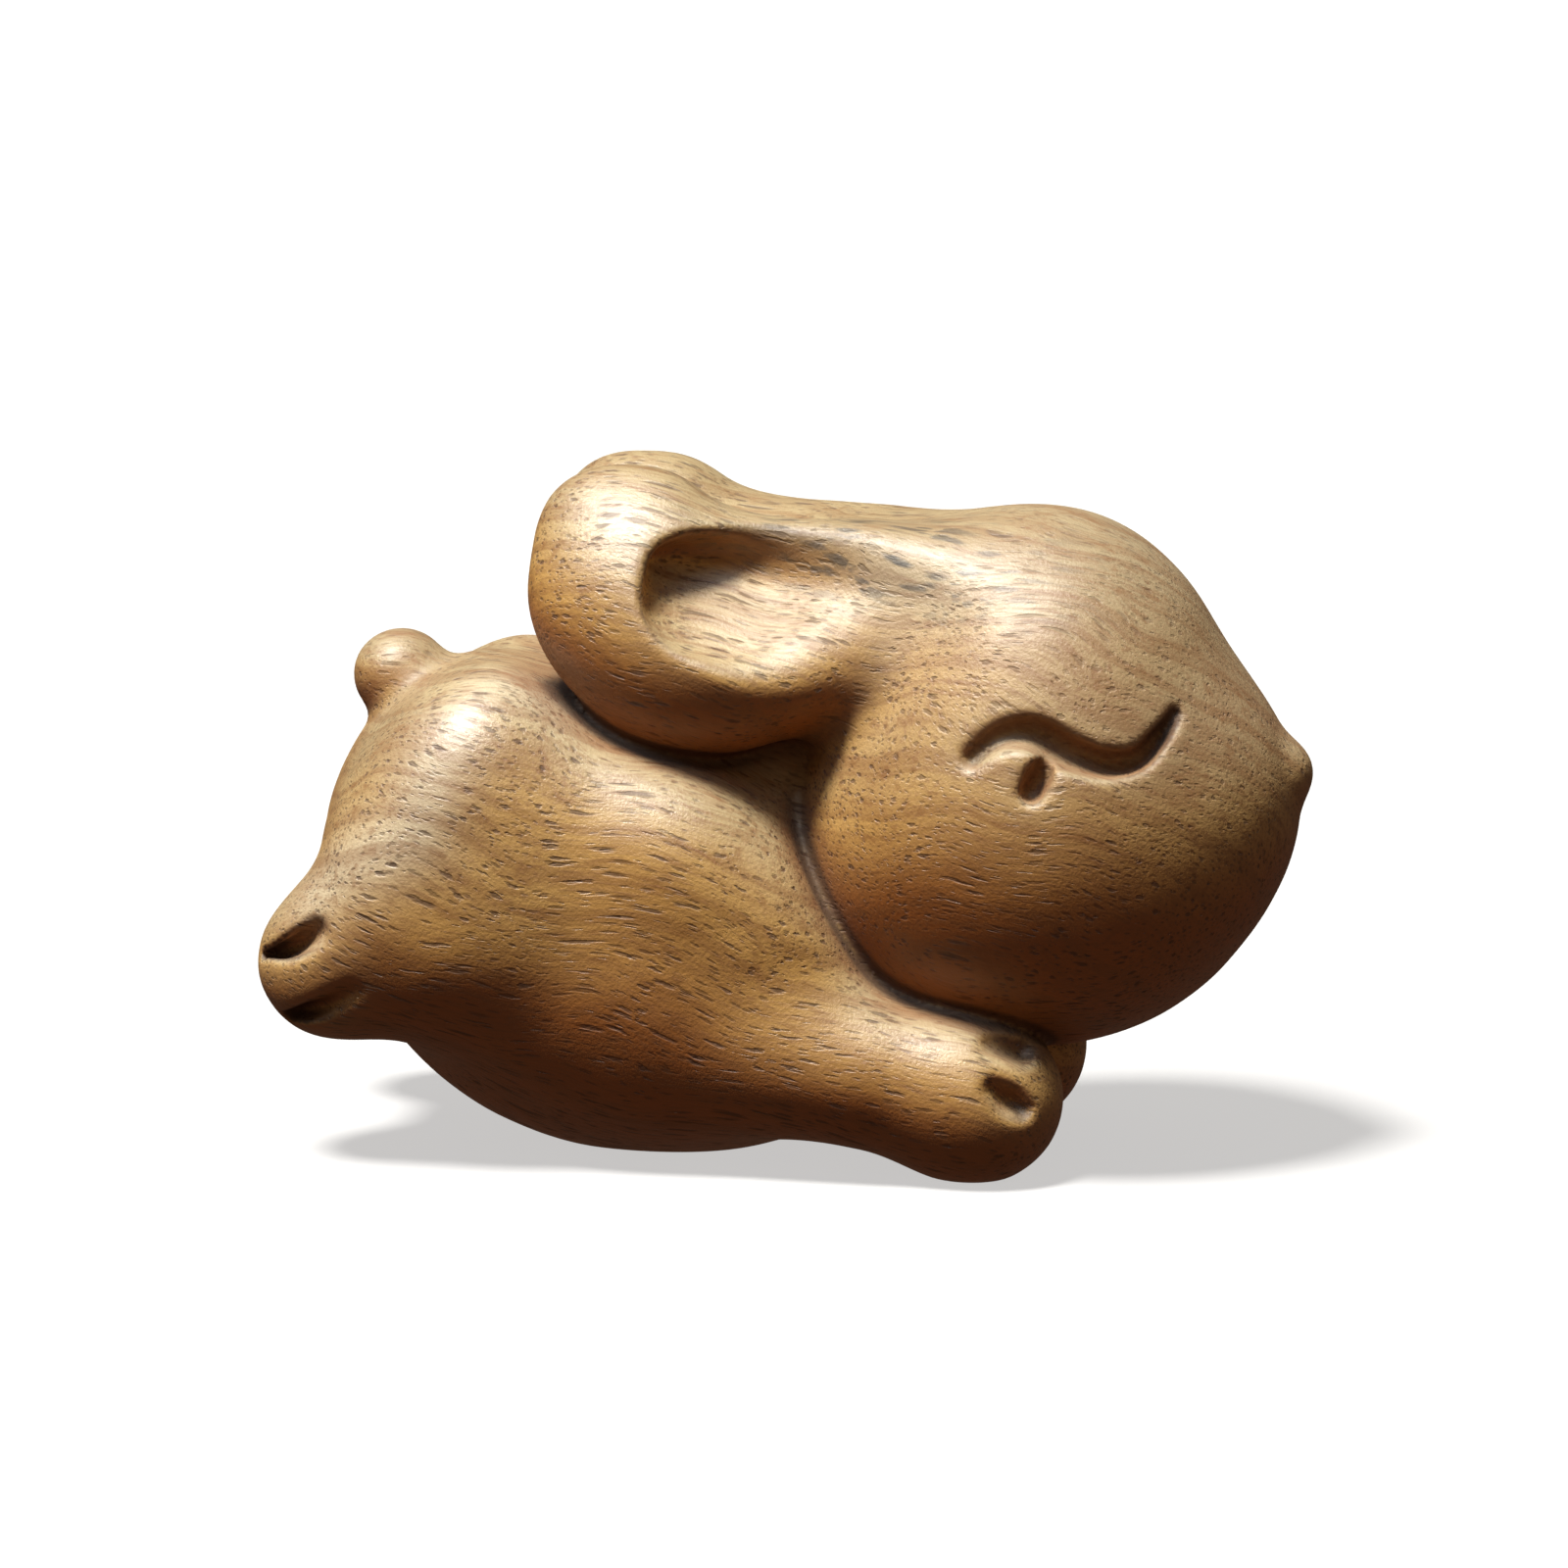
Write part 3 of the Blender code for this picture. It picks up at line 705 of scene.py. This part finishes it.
group.links.new(fibres.outputs["Fac"], leave.inputs["Fibre"])
drawn = put(group, "ShaderNodeVectorMath", {"operation": "MULTIPLY"}, {1: (0.38, 1.9, 1.9)},
            [(enter.outputs["Along"], 0)])
streaks = put(group, "ShaderNodeTexNoise",
              values={"Scale": 1.0, "Detail": 2.0, "Roughness": 0.55, "Distortion": 0.4},
              links=[(drawn.outputs[0], "Vector")])
group.links.new(streaks.outputs["Fac"], leave.inputs["Streak"])
wide = put(group, "ShaderNodeVectorMath", {"operation": "MULTIPLY"}, {1: (0.07, 0.19, 0.19)},
           [(enter.outputs["Along"], 0)])
cloud = put(group, "ShaderNodeTexNoise", values={"Scale": 1.0, "Detail": 3.0, "Roughness": 0.55},
            links=[(wide.outputs[0], "Vector")])
group.links.new(cloud.outputs["Fac"], leave.inputs["Cloud"])
growth_and_fibre = group
print("group", group.name, "nodes", len(group.nodes))

# %% [markdown]
# ### The oiled wood
#
# The ground colour follows the painted top light: a shaded red below, amber on the sides and straw on top,
# which is painted light and painted shade. Smoke greys the head and the tail, and a painted highlight in
# cream lies on the crest, the back and the front of the ear's hollow. Over all of it clouds, growth lines,
# fibres and streaks of chestnut run along the grain. Three layers of pores lie on them, of which the darkest
# shows only where the flecks are. Handled ridges are a little paler, hollows keep a chestnut tone that is
# partly patina and partly painted shade, and creases a nearly black grime that is partly painted shade. Old
# oil leaves a soft shine: middling roughness, rougher in hollows, over pores and in the smoke, a thin coat
# that fades out in the hollows and under the smoke, and a very fine bump that breaks the highlights into
# specks.

# %% Material: oiled wood
wood = bpy.data.materials.new("oiled_carved_wood")
wood.use_nodes = True
tree = wood.node_tree
tree.nodes.clear()
shader = put(tree, "ShaderNodeBsdfPrincipled")
put(tree, "ShaderNodeOutputMaterial", links=[(shader.outputs[0], "Surface")])


def use(group, values=(), links=()):
    """Places a node group in the wood's material with its own values."""
    node = tree.nodes.new("ShaderNodeGroup")
    node.node_tree = group
    for key, amount in dict(values).items():
        node.inputs[key].default_value = amount
    for source, key in links:
        tree.links.new(source, node.inputs[key])
    return node


along = use(grain_coordinates, {"Dip": 13.0, "Wander": 0.9}).outputs["Along"]
growth = use(growth_and_fibre, {"Spacing": 1.05, "Fibre": 0.14}, [(along, "Along")])
pores = use(pore_dashes, {"Long": 3.0, "Wide": 0.42, "Thickness": 0.30, "Kept": 0.85, "Seed": 3.0},
            [(along, "Along")])
small = use(pore_dashes, {"Long": 1.4, "Wide": 0.24, "Thickness": 0.38, "Kept": 0.8, "Seed": 17.0},
            [(along, "Along")])
dark = use(pore_dashes, {"Long": 2.6, "Wide": 0.60, "Thickness": 0.46, "Kept": 0.85, "Seed": 41.0},
           [(along, "Along")])
marks = {name: put(tree, "ShaderNodeAttribute", {"attribute_name": name}).outputs["Fac"] for name in MARKS}

# The cream is a painted highlight, the red below is painted shade, the straw on top is painted light and also
# the paler wear of ridges, and the near black of creases is grime and painted shade.
HIGHLIGHT_CREAM = (0.800, 0.700, 0.500, 1)
STRAW_TOPLIGHT_AND_WEAR = (0.580, 0.465, 0.260, 1)
AMBER = (0.700, 0.395, 0.108, 1)
UNDERSIDE_SHADE_RED = (0.400, 0.122, 0.020, 1)
CHESTNUT = (0.270, 0.100, 0.024, 1)
SMOKE = (0.430, 0.330, 0.200, 1)
PORE = (0.090, 0.036, 0.012, 1)
FLECK = (0.050, 0.046, 0.042, 1)
GRIME_AND_SHADE = (0.045, 0.017, 0.006, 1)


def share(value, amount):
    """A mask turned down to `amount`."""
    return maths(tree, "MULTIPLY", value, amount)


# Painted light and shade: red below, amber on the sides and straw on top, by facing.
colour = stain(tree, "MIX", span(tree, marks["painted_toplight"], 0.32, 0.62), UNDERSIDE_SHADE_RED, AMBER)
colour = stain(tree, "MIX", share(span(tree, marks["painted_toplight"], 0.55, 0.90), 0.90), colour, STRAW_TOPLIGHT_AND_WEAR)
colour = stain(tree, "MIX", share(marks["smoke"], 0.55), colour, SMOKE)
# Painted highlight in cream.
colour = stain(tree, "MIX", share(marks["painted_highlight"], 0.75), colour, HIGHLIGHT_CREAM)
colour = stain(tree, "MIX", share(span(tree, growth.outputs["Cloud"], 0.45, 0.75), 0.40), colour, CHESTNUT)
colour = stain(tree, "MIX", share(span(tree, growth.outputs["Growth"], 0.42, 0.66), 0.42), colour, CHESTNUT)
colour = stain(tree, "MIX", share(span(tree, growth.outputs["Fibre"], 0.45, 0.75), 0.50), colour, CHESTNUT)
colour = stain(tree, "MIX", share(span(tree, growth.outputs["Streak"], 0.52, 0.70), 0.45), colour, CHESTNUT)
worn = maths(tree, "SUBTRACT", 1.0, share(marks["smoke"], 0.60))
colour = stain(tree, "MIX", maths(tree, "MULTIPLY", share(small.outputs["Pore"], 0.50), worn), colour, PORE)
colour = stain(tree, "MIX", maths(tree, "MULTIPLY", share(pores.outputs["Pore"], 0.68), worn), colour, PORE)
colour = stain(tree, "MIX", share(marks["fleck"], 0.35), colour, SMOKE)
flecked = maths(tree, "MULTIPLY", dark.outputs["Pore"], share(marks["fleck"], 0.95), clamp=True)
colour = stain(tree, "MIX", flecked, colour, FLECK)
colour = stain(tree, "MIX", share(marks["ridge"], 0.15), colour, STRAW_TOPLIGHT_AND_WEAR)
# Hollows darkened towards chestnut are partly patina and partly painted shade; creases darkened towards near
# black are grime and painted shade.
colour = stain(tree, "MIX", share(span(tree, marks["hollow"], 0.25, 0.95), 0.55), colour, CHESTNUT)
colour = stain(tree, "MIX", share(span(tree, marks["crease"], 0.25, 0.85), 0.75), colour, GRIME_AND_SHADE)
tree.links.new(colour, shader.inputs["Base Color"])

rough = span(tree, growth.outputs["Fibre"], 0.3, 0.75, 0.38, 0.52)
rough = maths(tree, "ADD", rough, share(pores.outputs["Pore"], 0.2))
rough = maths(tree, "ADD", rough, share(marks["smoke"], 0.12))
rough = maths(tree, "ADD", rough, share(marks["hollow"], 0.35), clamp=True)
tree.links.new(rough, shader.inputs["Roughness"])

speck = put(tree, "ShaderNodeTexNoise", values={"Scale": 5200.0, "Detail": 3.0, "Roughness": 0.6},
            links=[(put(tree, "ShaderNodeTexCoord").outputs["Object"], "Vector")])
height = maths(tree, "ADD", share(speck.outputs["Fac"], 0.9), share(growth.outputs["Fibre"], 0.3))
height = maths(tree, "SUBTRACT", height, share(small.outputs["Pore"], 0.4))
height = maths(tree, "SUBTRACT", height, share(pores.outputs["Pore"], 0.8))
bump = put(tree, "ShaderNodeBump", values={"Strength": 0.75, "Distance": 0.00006}, links=[(height, "Height")])
tree.links.new(bump.outputs["Normal"], shader.inputs["Normal"])
coat = span(tree, marks["hollow"], 0.05, 0.45, 0.22, 0.0)
coat = maths(tree, "MULTIPLY", coat, worn)
tree.links.new(coat, shader.inputs["Coat Weight"])
shader.inputs["Coat Roughness"].default_value = 0.34
mesh.materials.append(wood)
print("material", wood.name, "nodes", len(tree.nodes))

# %% [markdown]
# ## Floor, light and camera
#
# The hare stands on a plain pale floor, which glows a little by itself, so that it stays as pale as
# paper under the soft shadow. The wood doesn't see the floor, because its chin and belly are dark
# in the photograph. The light comes from above, in front and a little to the left, and the room
# gives only a weak warm fill. Two suns stand in that one place: a small disc lights the wood and
# throws the shadow, and a wide one shows only in the shine of the oil, as a window would, which
# makes the highlights broad and soft. Suns light the floor evenly to the horizon, which a lamp
# close by wouldn't. The camera looks at the near side from slightly towards the nose and ten
# degrees above the ground.

# %% Floor
FLOOR_REACH = 6.0                   # metres from the middle to each side
floor_mesh = bpy.data.meshes.new("floor")
floor_corners = [(x * FLOOR_REACH, y * FLOOR_REACH, 0) for x, y in ((-1, -1), (1, -1), (1, 1), (-1, 1))]
floor_mesh.from_pydata(floor_corners, [], [(0, 1, 2, 3)])
floor = bpy.data.objects.new("floor", floor_mesh)
bpy.context.collection.objects.link(floor)
paint = bpy.data.materials.new("pale_floor")
paint.use_nodes = True
for socket, amount in (("Base Color", (0.40, 0.40, 0.40, 1)), ("Roughness", 0.9), ("Specular IOR Level", 0.0),
                       ("Emission Color", (1, 0.99, 0.98, 1)), ("Emission Strength", 0.55)):
    paint.node_tree.nodes["Principled BSDF"].inputs[socket].default_value = amount
floor_mesh.materials.append(paint)
floor.visible_diffuse = False
floor.visible_glossy = False
print("floor, metres:", 2 * FLOOR_REACH)

# %% Camera
AZIMUTH, ELEVATION = math.radians(8), math.radians(10)
DISTANCE, FRAME_WIDTH = 6.074, 1.5124         # of the camera, and of what it takes in there, in lengths
TARGET = (-0.0105, 0, 0.3528)                 # what it looks at, in lengths
SENSOR = 36                                   # millimetres
back = Vector((math.sin(AZIMUTH) * math.cos(ELEVATION), -math.cos(AZIMUTH) * math.cos(ELEVATION),
               math.sin(ELEVATION)))
camera = bpy.data.objects.new("camera", bpy.data.cameras.new("camera"))
bpy.context.collection.objects.link(camera)
camera.location = Vector(TARGET) * LENGTH + back * DISTANCE * LENGTH
camera.rotation_euler = (-back).to_track_quat("-Z", "Y").to_euler()
camera.data.sensor_width = SENSOR
camera.data.lens = SENSOR * DISTANCE / FRAME_WIDTH
camera.data.clip_start = 0.01
bpy.context.scene.camera = camera
print("lens, mm:", round(camera.data.lens, 1))

# %% Light
right = Vector((math.cos(AZIMUTH), math.sin(AZIMUTH), 0))
up = back.cross(right)
towards = (-0.28 * right + 0.86 * up + 0.42 * back).normalized()


def sun(name, energy, spread, colour):
    """A sun from `towards` whose disc is `spread` degrees wide."""
    lamp = bpy.data.objects.new(name, bpy.data.lights.new(name, "SUN"))
    lamp.data.energy = energy
    lamp.data.angle = math.radians(spread)
    lamp.data.color = colour
    lamp.rotation_euler = towards.to_track_quat("Z", "Y").to_euler()
    bpy.context.collection.objects.link(lamp)
    return lamp


sun("key", 4.8, 14, (1.0, 0.98, 0.94))
shine = sun("shine", 6.4, 50, (1.0, 1.0, 1.0))
shine.visible_diffuse = False

world = bpy.data.worlds.new("room")
bpy.context.scene.world = world
world.use_nodes = True
sky = world.node_tree
sky.nodes.clear()
facing = put(sky, "ShaderNodeSeparateXYZ", links=[(put(sky, "ShaderNodeTexCoord").outputs["Generated"], 0)])
blend = span(sky, facing.outputs[2], -0.2, 0.7)
shade = stain(sky, "MIX", blend, (0.095, 0.062, 0.045, 1), (0.11, 0.098, 0.082, 1))
glow = put(sky, "ShaderNodeBackground", values={"Strength": 1.0}, links=[(shade, "Color")])
put(sky, "ShaderNodeOutputWorld", links=[(glow.outputs[0], "Surface")])
bpy.context.scene.view_settings.view_transform = "Standard"
print("light from", [round(v, 2) for v in towards])
